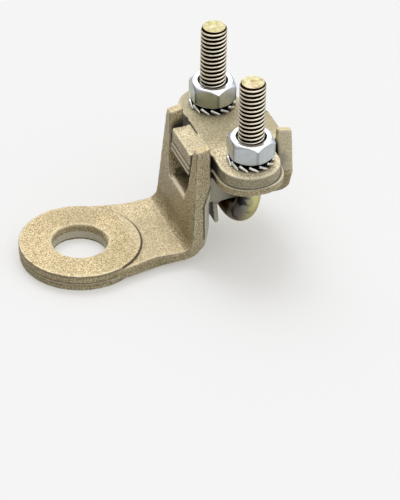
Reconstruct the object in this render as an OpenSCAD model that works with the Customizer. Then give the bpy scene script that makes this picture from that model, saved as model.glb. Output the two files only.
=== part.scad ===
// Mechanical lug: a cast palm and saddle, a clamp keeper, and a U-bolt with its nuts and lock washers.
// Millimetres, +Z up. The origin is the centre of the palm's stud hole, on the contact face underneath.
// +X runs from the palm to the clamp. The conductor lies along X, between the sill and the keeper.

/* [Palm] */
// Diameter of the round palm
palm_d = 36.8; // [32:0.2:42]
// Diameter of the stud hole
palm_hole_d = 16.7; // [10:0.1:20]
// Chamfer on the upper rim of the stud hole
hole_chamfer = 0.4; // [0.1:0.1:0.8]
// Thickness of the tongue, and of the palm between its two pads
plate_t = 2.5; // [2:0.1:4]
// Height of the thin raised pad on top of the palm
top_pad_h = 0.5; // [0.2:0.1:1]
// Height of the contact pad under the palm
contact_pad_h = 2.3; // [2:0.1:3]
// Inset of the contact pad from the rim of the palm
contact_pad_inset = 0.3; // [0.2:0.1:2]
// Distance from the stud hole to the end of the taper under the tongue
taper_len = 25.5; // [20:0.5:27]
// Depth of the taper at the stud hole
taper_h = 1.6; // [1:0.1:1.9]
// Width of the tongue where it leaves the palm
tongue_w = 29; // [26:0.2:30.6]
// Radius of the blend between palm and tongue
palm_blend_r = 4; // [2:0.5:10]

/* [Front wall] */
// Distance from the stud hole to the foot of the wall's front face
reach = 30.0; // [26:0.2:36]
// Thickness of the wall at its foot
wall_t = 6.4; // [5.6:0.1:8]
// Width of the wall at its foot
wall_foot_w = 31; // [30:0.2:34]
// Width of the wall at the tops of its posts
wall_top_w = 26; // [25:0.2:30]
// Backward lean of the wall's front face, in degrees
wall_lean = 3.4; // [1:0.1:4]
// Radius of the fillet between tongue and wall
bend_inner_r = 3; // [1:0.5:6]
// Radius of the outside of the bend
bend_outer_r = 9.5; // [6:0.5:10]
// Height of the posts above the contact face, at their inner edge
post_z = 38.8; // [37:0.2:44]
// Fall of the post tops towards their outer face
post_fall = 0.8; // [0.4:0.1:3]
// Depth of the relief down the wall's rear corners
corner_relief = 2.4; // [0.8:0.1:2.8]
// Height of the lower edge of the relief's slope
relief_z = 19.5; // [17:0.5:21]

/* [Saddle] */
// Height of the saddle floor above the contact face
sill_z = 18.3; // [17.5:0.1:19]
// Thickness of the saddle floor
floor_t = 2.1; // [2:0.1:3]
// Width of the channel at its floor
sill_w = 15; // [13:0.2:15.4]
// Sideways slope of the channel walls, as width gained on each side per unit of height
channel_slope = 0.13; // [0.1:0.01:0.15]
// Radius in the bottom corners of the channel
channel_r = 1.8; // [0.5:0.1:2.4]
// Bevel on the outer edges of the sill
sill_bevel = 0.9; // [0.3:0.1:1.2]
// Clear distance between the front and rear walls
clamp_gap = 21.6; // [20.8:0.2:23]
// Distance from the front wall's rear face to the stud axes
stud_setback = 11.5; // [10.8:0.1:11.8]
// Width of the saddle under the ears
saddle_w = 23.2; // [22:0.2:23.6]
// Width of the flat underside of the saddle
belly_w = 17.2; // [15:0.2:18.4]
// Height at which the saddle sides turn upright
knee_z = 25; // [24:0.5:26]

/* [Ears] */
// Height of the ears' seat for the keeper above the contact face
ear_top_z = 30.2; // [29.6:0.1:31]
// Thickness of the ears
ear_t = 2.8; // [2.4:0.1:3]
// Corner radius of the ears
ear_r = 9.2; // [5:0.1:9.2]
// Distance from a stud axis to the end of the keeper's ear
ear_overhang = 9.6; // [8.5:0.1:12]
// Slot between the ears and the front wall
ear_slot = 1; // [0.8:0.1:1.6]
// Inset of the ears from the keeper's outline
ear_inset = 0.5; // [0.1:0.1:1]

/* [Rear wall] */
// Thickness of the rear wall at its foot
rear_t = 5; // [4.4:0.1:6]
// Height of the rear posts above the contact face, at their inner edge
rear_post_z = 40.3; // [38:0.1:43]
// Thickness of the rear posts at their tops
rear_top_t = 4.6; // [3.6:0.1:5]
// Width of the rear wall at the tops of its posts
rear_top_w = 24; // [23:0.2:26]
// Width of the rear wall at its lower edge
rear_belly_w = 19.2; // [17:0.2:20.4]
// Width of the rear wall at its shoulders
rear_shoulder_w = 27.2; // [24.4:0.2:27.6]
// Height of the rear wall's shoulders
rear_shoulder_z = 25; // [23:0.2:26]
// Radius of the rear wall's lower edge
rear_edge_r = 3; // [1:0.5:4]

/* [U-bolt lip] */
// Distance from the stud axes forward to the lip
lip_setback = 6.9; // [5:0.1:7.4]
// Thickness of the lip in front of the U-bolt
lip_t = 1.5; // [1.2:0.1:2.2]
// Reach of the lip below the saddle
lip_h = 9; // [6:0.2:10]
// Width of the lip across the lug
lip_w = 16.8; // [10:0.2:17]
// Lean of the lip towards the U-bolt, in degrees
lip_lean = 6; // [0:1:8]
// Radius between lip and saddle
lip_root_r = 4; // [0.5:0.1:4.2]

/* [U-bolt] */
// Distance between the two studs
stud_spacing = 32; // [31.4:0.2:36]
// Outside diameter of the stud thread
stud_d = 7.94; // [7:0.01:8.4]
// Diameter of the plain rod in the bend
rod_d = 7.1; // [6.4:0.1:7.4]
// Length of thread on each stud
thread_len = 33; // [28:0.5:33]
// Distance from one turn of the thread to the next
thread_pitch = 1.411; // [1.2:0.001:1.6]
// Depth of the thread
thread_depth = 0.75; // [0.4:0.05:0.9]
// Width of the flat crest of the thread
thread_crest = 0.25; // [0.1:0.05:0.5]
// Height of the studs above the keeper
stud_above = 27.5; // [20:0.5:34]
// Chamfer on the stud tips
stud_chamfer = 0.5; // [0.3:0.1:1.2]
// Clearance between the rod and the corners of the saddle's underside
rod_seat_gap = 0.1; // [0.05:0.05:0.3]
// Radial clearance of the studs in the holes of keeper and ears
stud_clearance = 0.4; // [0.3:0.05:0.5]

/* [Keeper] */
// Thickness of the keeper plate
keeper_t = 4.2; // [3.6:0.1:4.6]
// Clearance between the keeper and the walls in front of and behind it
keeper_clearance = 1.4; // [0.4:0.1:1.5]
// Clearance between the keeper's noses and the sides of the channel
nose_clearance = 0.8; // [0.3:0.1:1.5]
// Length of the keeper over both noses
nose_len = 30.8; // [29:0.2:31.4]
// Step down from the plate to the top of a nose
nose_step = 0.3; // [0.1:0.1:1]
// Depth of the pressing bar below the plate
bar_h = 3.5; // [2.5:0.1:4.5]
// Number of steps in the ends of the pressing bar
bar_steps = 2; // [1:1:3]
// How far each step of the pressing bar stands out past the one above
bar_lip = 0.2; // [0.1:0.05:0.25]
// Radius between nose and ears
nose_r = 1; // [0.5:0.1:1.5]
// Corner radius of the noses and the pressing bar, seen from above
nose_corner_r = 0.8; // [0.4:0.1:2]

/* [Nuts and washers] */
// Width of a nut across its flats
nut_af = 13; // [12:0.1:13.6]
// Height of a nut
nut_h = 6.6; // [5.5:0.1:8]
// Angle at which the left nut stands, in degrees
nut_left_turn = 18; // [0:1:59]
// Angle at which the right nut stands, in degrees
nut_right_turn = 25; // [0:1:59]
// Chamfer angle on the nut's corners, in degrees
nut_chamfer = 40; // [20:1:42]
// Running clearance between nut and stud
nut_clearance = 0.05; // [0.02:0.01:0.1]
// Depth of the countersink at both ends of a nut
nut_sink = 0.7; // [0.3:0.1:1]
// Diameter over the washer's teeth
washer_d = 14.4; // [13.6:0.1:15]
// Diameter of the washer's ring
washer_ring_d = 11.6; // [11.4:0.1:12.6]
// Height over the twisted teeth
washer_h = 1.9; // [1.4:0.1:2.2]
// Thickness of the washer's stock
washer_t = 0.9; // [0.6:0.1:1.1]
// Number of teeth on a washer
washer_teeth = 14; // [10:1:16]
// Twist of the teeth, in degrees
tooth_twist = 34; // [20:1:45]
// Half width of a tooth, as a share of the distance between teeth
tooth_share = 0.55; // [0.3:0.05:0.6]
// Gap between washer and stud
washer_clearance = 0.2; // [0.1:0.05:0.3]

/* [Hidden] */
$fn = 96;
thread_fn = 36;
eps = 0.01;
over = 1;

bronze = [0.72, 0.62, 0.40];
yellow_zinc = [0.74, 0.70, 0.50];
bright_zinc = [0.80, 0.81, 0.83];
spring_steel = [0.66, 0.66, 0.67];

// Heights
plate_z0 = contact_pad_h;
plate_z1 = plate_z0 + plate_t;
palm_top_z = plate_z1 + top_pad_h;
belly_z = sill_z - floor_t;
ear_bottom_z = ear_top_z - ear_t;
keeper_top_z = ear_top_z + keeper_t;
washer_top_z = keeper_top_z + washer_h;
stud_top_z = keeper_top_z + stud_above;

// Places along the lug
wall_rear_x = reach + wall_t;
stud_x = wall_rear_x + stud_setback;
gap_x = wall_rear_x + clamp_gap / 2;
rear_x = wall_rear_x + clamp_gap;
lean_k = tan(wall_lean);
post_low_z = post_z - post_fall;
rear_post_low_z = rear_post_z - post_fall;
channel_top_z = max(post_z, rear_post_z) + over;
stud_y = stud_spacing / 2;

// Channel
channel_top_w = sill_w + 2 * channel_slope * (channel_top_z - sill_z);

// U-bolt
bend_r = stud_spacing / 2;
bend_seat_r = bend_r - rod_d / 2 - rod_seat_gap;
bend_z = belly_z + sqrt(pow(bend_seat_r, 2) - pow(belly_w / 2, 2));
stud_hole_d = stud_d + 2 * stud_clearance;
run_out_h = (stud_d - rod_d) / 2;
thread_turns = floor((thread_len - stud_chamfer - run_out_h) / thread_pitch);
groove_w = thread_pitch - thread_crest;

// Keeper
keeper_w = clamp_gap - 2 * keeper_clearance;
keeper_span = stud_spacing + 2 * ear_overhang;
bar_z = ear_top_z - bar_h;
nose_w = sill_w + 2 * channel_slope * (bar_z - sill_z) - 2 * nose_clearance;
ear_corner_r = min(ear_r, keeper_w / 2 - eps);
nut_bore_d = stud_d + 2 * nut_clearance;
nut_corner_d = nut_af / cos(30);

// Puts a (y, z) outline across the lug, from x0 to x1
module across(x0, x1) {
    translate([x0, 0, 0])
        rotate([90, 0, 90])
            linear_extrude(x1 - x0)
                children();
}

// Puts an (x, z) outline along the lug, w wide and centred on y = 0
module along(w) {
    rotate([90, 0, 0])
        linear_extrude(w, center = true)
            children();
}

// Mirrors a half outline over y = 0
module both_halves() {
    children();
    mirror([1, 0])
        children();
}

// Rectangle with four round corners
module rounded_rect(w, l, r) {
    square([w - 2 * r, l], center = true);
    square([w, l - 2 * r], center = true);
    for (sx = [-1, 1], sy = [-1, 1])
        translate([sx * (w / 2 - r), sy * (l / 2 - r)])
            circle(r);
}

// Concave fillet in the corner at the origin, between +x and +y
module corner_fillet(r) {
    difference() {
        square(r);
        translate([r, r])
            circle(r);
    }
}

// Both stud positions
module at_studs() {
    for (s = [-1, 1])
        translate([stud_x, s * stud_y, 0])
            children();
}

// Palm and tongue seen from above
module palm_plan() {
    blend_x = sqrt(pow(palm_d / 2 + palm_blend_r, 2) - pow(tongue_w / 2 + palm_blend_r, 2));
    blend_y = tongue_w / 2 + palm_blend_r;
    circle(d = palm_d);
    for (s = [0, 1])
        mirror([0, s]) {
            polygon([[0, 0], [blend_x, 0], [reach, 0], [wall_rear_x, 0],
                     [wall_rear_x, wall_foot_w / 2], [reach, wall_foot_w / 2],
                     [blend_x, tongue_w / 2], [0, tongue_w / 2]]);
            difference() {
                polygon([[0, 0], [blend_x, tongue_w / 2], [blend_x, blend_y]
                         * palm_d / (palm_d + 2 * palm_blend_r)]);
                translate([blend_x, blend_y])
                    circle(palm_blend_r);
            }
        }
}

// Tongue, bend and front wall seen from the side
module wall_profile() {
    blend = bend_inner_r / tan(45 + wall_lean / 2);
    face = [sin(wall_lean), cos(wall_lean)];
    foot = [reach, plate_z1];
    difference() {
        polygon([[-palm_d, plate_z0], [wall_rear_x, plate_z0], [wall_rear_x, post_z],
                 [reach + lean_k * (post_low_z - plate_z1), post_low_z], foot, [-palm_d, plate_z1]]);
        translate([wall_rear_x, plate_z0])
            mirror([1, 0])
                corner_fillet(bend_outer_r);
    }
    difference() {
        polygon([foot, foot - [blend, 0], foot + [-blend, bend_inner_r], foot + blend * face]);
        translate(foot + [-blend, bend_inner_r])
            circle(bend_inner_r);
    }
}

// Front wall seen from the front, tapering from its foot to its posts
module wall_outline() {
    taper_z = palm_top_z + bend_inner_r - over;
    both_halves()
        polygon([[0, -over], [palm_d, -over], [palm_d, taper_z], [wall_foot_w / 2, taper_z],
                 [wall_top_w / 2, post_z], [0, post_z]]);
}

// Channel seen from the front, open at the top
module channel() {
    difference() {
        both_halves()
            polygon([[0, sill_z], [sill_w / 2, sill_z],
                     [channel_top_w / 2, channel_top_z], [0, channel_top_z]]);
        both_halves()
            translate([sill_w / 2 + channel_slope * channel_r, sill_z])
                mirror([1, 0])
                    corner_fillet(channel_r);
    }
}

// Saddle seen from the front, under the ears
module saddle_outline() {
    both_halves()
        polygon([[0, belly_z], [belly_w / 2, belly_z], [saddle_w / 2, knee_z],
                 [saddle_w / 2, ear_top_z], [0, ear_top_z]]);
}

// Rear wall seen from behind
module rear_outline() {
    both_halves()
        polygon([[0, belly_z], [rear_belly_w / 2, belly_z], [rear_shoulder_w / 2, rear_shoulder_z],
                 [rear_top_w / 2, rear_post_z], [0, rear_post_z]]);
}

// Rear wall seen from the side
module rear_profile() {
    difference() {
        polygon([[rear_x, belly_z], [rear_x + rear_t, belly_z],
                 [rear_x + rear_top_t, rear_post_low_z], [rear_x, rear_post_z]]);
        translate([rear_x + rear_t, belly_z])
            mirror([1, 0])
                corner_fillet(rear_edge_r);
    }
}

// Lip in front of the U-bolt, seen from the side
module lip_profile() {
    translate([stud_x - lip_setback, belly_z]) {
        rotate(lip_lean)
            translate([-lip_t, 0]) {
                translate([0, lip_t / 2 - lip_h])
                    square([lip_t, lip_h - lip_t / 2 + floor_t / 2]);
                translate([lip_t / 2, lip_t / 2 - lip_h])
                    circle(d = lip_t);
            }
        translate([-eps, eps])
            mirror([0, 1])
                corner_fillet(lip_root_r);
    }
}

// Sloped relief that takes the rear corners off the front wall, below the ears
module corner_relief_cut() {
    depth = corner_relief * sqrt(0.5);
    for (s = [0, 1])
        mirror([0, s, 0])
            translate([wall_rear_x, wall_foot_w / 2, 0])
                rotate([0, 0, 45])
                    along(2 * wall_foot_w)
                        polygon([[3 * over, plate_z0 - over], [3 * over, ear_bottom_z],
                                 [0, ear_bottom_z - over], [-depth, relief_z], [-depth, plate_z0 - over]]);
}

// Bevel along the front and rear edges of the sill
module sill_bevel_cut() {
    front_x = reach + lean_k * (sill_z - plate_z1);
    rear_face_x = rear_x + rear_t - (rear_t - rear_top_t) * (sill_z - belly_z) / (rear_post_low_z - belly_z);
    for (x = [front_x, rear_face_x])
        translate([x, 0, sill_z])
            rotate([0, 45, 0])
                cube([sill_bevel * sqrt(2), sill_w - 2 * channel_r, sill_bevel * sqrt(2)], center = true);
}

// One cast piece: palm, tongue, front wall, saddle with ears, rear wall and the lip in front of the U-bolt
module lug_body() {
    front_ear_x = wall_rear_x + ear_slot;
    ear_l = rear_x - front_ear_x;
    color(bronze)
        difference() {
            union() {
                cylinder(d = palm_d - 2 * contact_pad_inset, h = plate_z0 + eps);
                along(tongue_w - 2 * contact_pad_inset)
                    polygon([[0, plate_z0 - taper_h], [taper_len, plate_z0], [taper_len, plate_z0 + eps],
                             [0, plate_z0 + eps]]);
                translate([0, 0, plate_z1 - eps])
                    cylinder(d = palm_d, h = top_pad_h + eps);
                difference() {
                    intersection() {
                        along(2 * palm_d)
                            wall_profile();
                        linear_extrude(post_z)
                            palm_plan();
                        across(-palm_d, rear_x)
                            wall_outline();
                    }
                    corner_relief_cut();
                }
                across(wall_rear_x - over, rear_x + over)
                    saddle_outline();
                translate([front_ear_x + ear_l / 2, 0, ear_bottom_z])
                    linear_extrude(ear_t)
                        rounded_rect(ear_l, keeper_span - 2 * ear_inset, ear_corner_r);
                intersection() {
                    along(2 * rear_shoulder_w)
                        rear_profile();
                    across(rear_x - over, rear_x + rear_t + over)
                        rear_outline();
                }
                along(lip_w)
                    lip_profile();
            }
            across(0, rear_x + rear_t + over)
                channel();
            sill_bevel_cut();
            translate([0, 0, -over])
                cylinder(d = palm_hole_d, h = palm_top_z + 2 * over);
            translate([0, 0, palm_top_z])
                rotate_extrude()
                    polygon([[0, -palm_hole_d / 2 - hole_chamfer], [0, palm_hole_d / 2 + hole_chamfer],
                             [palm_hole_d / 2 + hole_chamfer, 0]]);
            at_studs()
                translate([0, 0, ear_bottom_z - over])
                    cylinder(d = stud_hole_d, h = ear_t + 2 * over);
        }
}

// Clamp plate with an ear on each stud, a nose through each wall and a pressing bar underneath
module keeper() {
    color(bronze)
        difference() {
            translate([gap_x, 0, ear_top_z]) {
                linear_extrude(keeper_t)
                    rounded_rect(keeper_w, keeper_span, ear_corner_r);
                linear_extrude(keeper_t - nose_step) {
                    rounded_rect(nose_len, nose_w, nose_corner_r);
                    for (sx = [0, 1], sy = [0, 1])
                        mirror([sx, 0])
                            mirror([0, sy])
                                translate([keeper_w / 2 - eps, nose_w / 2 - eps])
                                    corner_fillet(nose_r);
                }
                for (i = [1 : bar_steps])
                    translate([0, 0, -bar_h])
                        linear_extrude(bar_h * (bar_steps + 1 - i) / bar_steps + eps)
                            rounded_rect(nose_len + 2 * i * bar_lip, nose_w, nose_corner_r);
            }
            at_studs()
                translate([0, 0, ear_top_z - over])
                    cylinder(d = stud_hole_d, h = keeper_t + 2 * over);
        }
}

// Groove between two turns of the thread, cut into the half outline of a stud at height z
function groove(z) = [[stud_d / 2, z - groove_w / 2], [stud_d / 2 - thread_depth, z],
                      [stud_d / 2, z + groove_w / 2]];

// Stud with a chamfered tip. Its thread is drawn as rings, from the tip down to the run-out
module stud() {
    thread_top = thread_len - stud_chamfer;
    rotate_extrude($fn = thread_fn)
        polygon([[0, 0], [rod_d / 2, 0], [stud_d / 2, run_out_h],
                 for (i = [thread_turns - 1 : -1 : 0]) each groove(thread_top - (i + 0.5) * thread_pitch),
                 [stud_d / 2, thread_top], [stud_d / 2 - stud_chamfer, thread_len], [0, thread_len]]);
}

// Rod bent to a half circle under the saddle, with a threaded stud at each end
module u_bolt() {
    thread_z = stud_top_z - thread_len;
    color(yellow_zinc) {
        at_studs() {
            translate([0, 0, bend_z])
                cylinder(d = rod_d, h = thread_z - bend_z + eps);
            translate([0, 0, thread_z])
                stud();
        }
        translate([stud_x, 0, bend_z])
            rotate([0, 90, 0])
                rotate([0, 0, -90])
                    rotate_extrude(angle = 180)
                        translate([bend_r, 0])
                            circle(d = rod_d);
    }
}

// Hexagon nut, chamfered and countersunk at both ends
module nut() {
    cone_h = (nut_corner_d - nut_af) / 2 * tan(nut_chamfer);
    color(bright_zinc)
        difference() {
            intersection() {
                cylinder(d = nut_corner_d, h = nut_h, $fn = 6);
                rotate_extrude()
                    polygon([[0, 0], [nut_af / 2, 0], [nut_corner_d / 2, cone_h],
                             [nut_corner_d / 2, nut_h - cone_h], [nut_af / 2, nut_h], [0, nut_h]]);
            }
            translate([0, 0, -over])
                cylinder(d = nut_bore_d, h = nut_h + 2 * over);
            for (z = [0, nut_h])
                translate([0, 0, z])
                    rotate_extrude()
                        polygon([[0, -nut_bore_d / 2 - nut_sink], [0, nut_bore_d / 2 + nut_sink],
                                 [nut_bore_d / 2 + nut_sink, 0]]);
        }
}

// External-tooth lock washer: a flat ring with twisted teeth round its rim
module washer() {
    tooth_w = tooth_share * PI * washer_ring_d / washer_teeth;
    tooth_l = (washer_d - washer_ring_d) / 2;
    color(spring_steel)
        difference() {
            intersection() {
                cylinder(d = washer_d, h = washer_h);
                union() {
                    translate([0, 0, (washer_h - washer_t) / 2])
                        cylinder(d = washer_ring_d, h = washer_t);
                    for (i = [0 : washer_teeth - 1])
                        rotate([0, 0, i * 360 / washer_teeth])
                            translate([washer_ring_d / 2 - washer_t / 2, 0, washer_h / 2])
                                rotate([-tooth_twist, 0, 0])
                                    translate([0, -tooth_w, -washer_t / 2])
                                        cube([tooth_l + washer_t, 2 * tooth_w, washer_t]);
                }
            }
            translate([0, 0, -over])
                cylinder(d = stud_d + 2 * washer_clearance, h = washer_h + 2 * over);
        }
}

// Seats a piece on one stud: side is 1 for left, seen from the palm, and -1 for right
module on_stud(side, z) {
    translate([stud_x, side * stud_y, z])
        children();
}

module nut_left() {
    on_stud(1, washer_top_z)
        rotate([0, 0, nut_left_turn])
            nut();
}

module nut_right() {
    on_stud(-1, washer_top_z)
        rotate([0, 0, nut_right_turn])
            nut();
}

module washer_left() {
    on_stud(1, keeper_top_z)
        washer();
}

module washer_right() {
    on_stud(-1, keeper_top_z)
        washer();
}

lug_body();
keeper();
u_bolt();
nut_left();
nut_right();
washer_left();
washer_right();
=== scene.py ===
import bpy
import bmesh
import math
import numpy as np
from mathutils import Matrix, Vector
from mathutils.bvhtree import BVHTree


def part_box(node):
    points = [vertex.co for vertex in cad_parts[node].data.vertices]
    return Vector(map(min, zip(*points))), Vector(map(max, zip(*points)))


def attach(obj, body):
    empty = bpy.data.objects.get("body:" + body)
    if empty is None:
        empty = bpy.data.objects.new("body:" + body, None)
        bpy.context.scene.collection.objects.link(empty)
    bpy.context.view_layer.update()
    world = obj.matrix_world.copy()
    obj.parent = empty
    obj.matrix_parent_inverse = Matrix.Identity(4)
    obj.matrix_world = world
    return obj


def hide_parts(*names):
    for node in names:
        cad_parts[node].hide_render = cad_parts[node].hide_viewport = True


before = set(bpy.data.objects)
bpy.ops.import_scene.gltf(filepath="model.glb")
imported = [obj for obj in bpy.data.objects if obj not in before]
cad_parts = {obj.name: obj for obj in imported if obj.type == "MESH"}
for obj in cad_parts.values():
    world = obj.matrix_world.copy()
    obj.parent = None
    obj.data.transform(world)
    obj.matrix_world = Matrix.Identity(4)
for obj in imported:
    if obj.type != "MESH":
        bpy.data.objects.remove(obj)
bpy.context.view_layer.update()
mm = 0.001
fullTurn = 2 * math.pi
noiseMean = 0.5
print("frame: loaded", ", ".join(sorted(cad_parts)))


class Wire:
    # a socket in a node tree: sums on wires add Math nodes, add() makes any other node
    def __init__(self, tree, socket=None):
        self.tree = tree
        self.socket = socket

    def add(self, kind, settings=None, sockets=None, out=0):
        node = self.tree.nodes.new(kind)
        for key, value in (settings or {}).items():
            if key == "stops":
                elements = node.color_ramp.elements
                while len(elements) < len(value):
                    elements.new(0.5)  # moved to its place below
                for element, (place, colour) in zip(elements, value):
                    element.position = place
                    element.color = colour
            else:
                setattr(node, key, value)
        for key, value in (sockets or {}).items():
            if isinstance(value, Wire):
                self.tree.links.new(value.socket, node.inputs[key])
            else:
                node.inputs[key].default_value = value
        return Wire(self.tree, node.outputs[out])

    def sum(self, operation, first, second=0.0):
        return self.add("ShaderNodeMath", {"operation": operation}, {0: first, 1: second})

    def __add__(self, other):
        return self.sum("ADD", self, other)

    def __radd__(self, other):
        return self.sum("ADD", other, self)

    def __sub__(self, other):
        return self.sum("SUBTRACT", self, other)

    def __rsub__(self, other):
        return self.sum("SUBTRACT", other, self)

    def __mul__(self, other):
        return self.sum("MULTIPLY", self, other)

    def __rmul__(self, other):
        return self.sum("MULTIPLY", other, self)

    def __truediv__(self, other):
        return self.sum("DIVIDE", self, other)

    def part(self, axis):
        return self.add("ShaderNodeSeparateXYZ", None, {0: self}, axis)

    def point(self, x, y, z):
        return self.add("ShaderNodeCombineXYZ", None, {0: x, 1: y, 2: z})

    def ease(self, low, high, lowOut=0.0, highOut=1.0):  # smooth step between two values
        return self.add("ShaderNodeMapRange", {"interpolation_type": "SMOOTHSTEP"},
                        {0: self, 1: low, 2: high, 3: lowOut, 4: highOut})

    def tint(self, first, second):  # this wire mixes two colours
        return self.add("ShaderNodeMix", {"data_type": "RGBA"}, {0: self, 6: first, 7: second}, 2)


def rgb(red, green, blue):  # colour as seen on screen, 0 to 255, to the linear colour that nodes take
    def linear(v):
        v /= 255
        return v / 12.92 if v <= 0.04045 else ((v + 0.055) / 1.055) ** 2.4
    return (linear(red), linear(green), linear(blue), 1.0)


# Finishes

def blankTree(owner):  # the emptied nodes of a material or the world
    owner.use_nodes = True
    owner.node_tree.nodes.clear()
    return Wire(owner.node_tree)


def show(wire, kind):  # links a shader to the tree's output
    output = wire.tree.nodes.new(kind)
    wire.tree.links.new(wire.socket, output.inputs[0])


def newMaterial(name):
    material = bpy.data.materials.new(name)
    wire = blankTree(material)
    shader = wire.tree.nodes.new("ShaderNodeBsdfPrincipled")
    show(Wire(wire.tree, shader.outputs[0]), "ShaderNodeOutputMaterial")
    return material, shader, wire.add("ShaderNodeTexCoord", out="Object")


def noise(place, settings):  # settings are the size of a spot in mm, the detail and the roughness
    size, detail, roughness = settings
    return place.add("ShaderNodeTexNoise", {"noise_dimensions": "3D"},
                     {"Vector": place, "Scale": 1 / (size * mm), "Detail": detail, "Roughness": roughness})


def meshMasks(wire, names):  # numbers that the mesh carries at its points or faces
    return {name: wire.add("ShaderNodeAttribute", {"attribute_name": name}, out="Fac") for name in names}


def layered(colour, masks, layers, finish):
    # a layer is a mask's name, the values between which it fades in, its strength and the colour it brings
    for name, edge, share, tone in layers:
        mask = masks[name].ease(*edge) if edge else masks[name]
        colour = (mask * share).tint(colour, finish[tone])
    return colour


def dressShader(shader, finish, colour, roughness, height):
    bump = height.add("ShaderNodeBump", None, {
        "Strength": finish["bumpStrength"], "Distance": finish["bumpDepth"] * mm, "Height": height})
    for name, wire in (("Base Color", colour), ("Roughness", roughness), ("Normal", bump)):
        wire.tree.links.new(wire.socket, shader.inputs[name])
    shader.inputs["Metallic"].default_value = finish["metallic"]


castFinish = {
    "pale": rgb(230, 211, 168),  # lit sand grain
    "deep": rgb(127, 108, 71),  # between the grains
    "stain": rgb(128, 116, 82),  # duller, greener patches; also painted shade on the keeper's plate and rim
    "bright": rgb(240, 226, 190),  # worn edges
    "soot": rgb(52, 44, 32),  # painted shade for inner corners, gaps between pieces and dark lines
    "grey": rgb(226, 222, 202),  # painted paler sheen on the saddle's sides and the wall's face; the bare band in the bore
    "lit": rgb(255, 244, 214),  # painted highlight on edges and faces that catch the light
    "grain": (0.36, 2.0, 0.6),  # each noise: size in mm, detail, roughness
    "spark": (0.252, 1.0, 0.5),
    "coarse": (2.4, 3.0, 0.55),
    "patch": (13.0, 2.0, 0.5),
    "wornEdge": (0.3, 0.6),  # values of the coarse noise that break up the worn edges
    "layers": [
        ("grain", (0.34, 0.66), 1.0, "pale"),
        ("patch", (0.42, 0.75), 0.35, "stain"),
        ("worn", None, 0.75, "bright"),
        ("spark", (0.62, 0.74), 0.5, "bright"),
        # painted shade on the keeper's plate and rim
        ("dusk", None, 0.55, "stain"),
        # painted sheen on the saddle's sides and the wall's face, and the bare band in the bore
        ("polish", None, 0.75, "grey"),
        # painted shade where other surfaces hide the sky
        ("hidden", (0.14, 0.55), 0.94, "soot"),
        # painted shade in hollows
        ("cavity", None, 0.6, "soot"),
        # painted highlights and faces painted lighter
        ("glow", None, 1.0, "lit"),
        ("line", None, 1.0, "soot"),
    ],
    "metallic": 0.15,
    "specular": 0.25,
    "roughness": 0.55,
    "roughSpread": 0.25,
    "wearGloss": 0.12,  # how much smoother worn edges are
    "grainHeight": 0.7,  # share of the fine grain in the bump
    "bumpDepth": 0.11,  # mm
    "bumpStrength": 0.6,
}
keeperFinish = dict(castFinish, pale=rgb(240, 226, 192), deep=rgb(148, 132, 97), stain=rgb(136, 128, 100),
                    bright=rgb(250, 242, 216))


def makeCastBronze(name, finish):
    material, shader, place = newMaterial(name)
    grain, spark, coarse, patch = [
        noise(place, finish[key]) for key in ("grain", "spark", "coarse", "patch")]
    masks = meshMasks(place, ("wear", "dusk", "polish", "hidden", "cavity", "glow", "line"))
    wear = masks["wear"]
    masks.update(grain=grain, patch=patch, spark=spark, worn=wear * coarse.ease(*finish["wornEdge"]))
    colour = layered(finish["deep"], masks, finish["layers"], finish)
    roughness = finish["roughness"] + (coarse - noiseMean) * finish["roughSpread"]
    roughness = roughness - wear * finish["wearGloss"]
    height = grain * finish["grainHeight"] + coarse * (1 - finish["grainHeight"])
    shader.inputs["Specular IOR Level"].default_value = finish["specular"]
    dressShader(shader, finish, colour, roughness, height)
    return material


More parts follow.
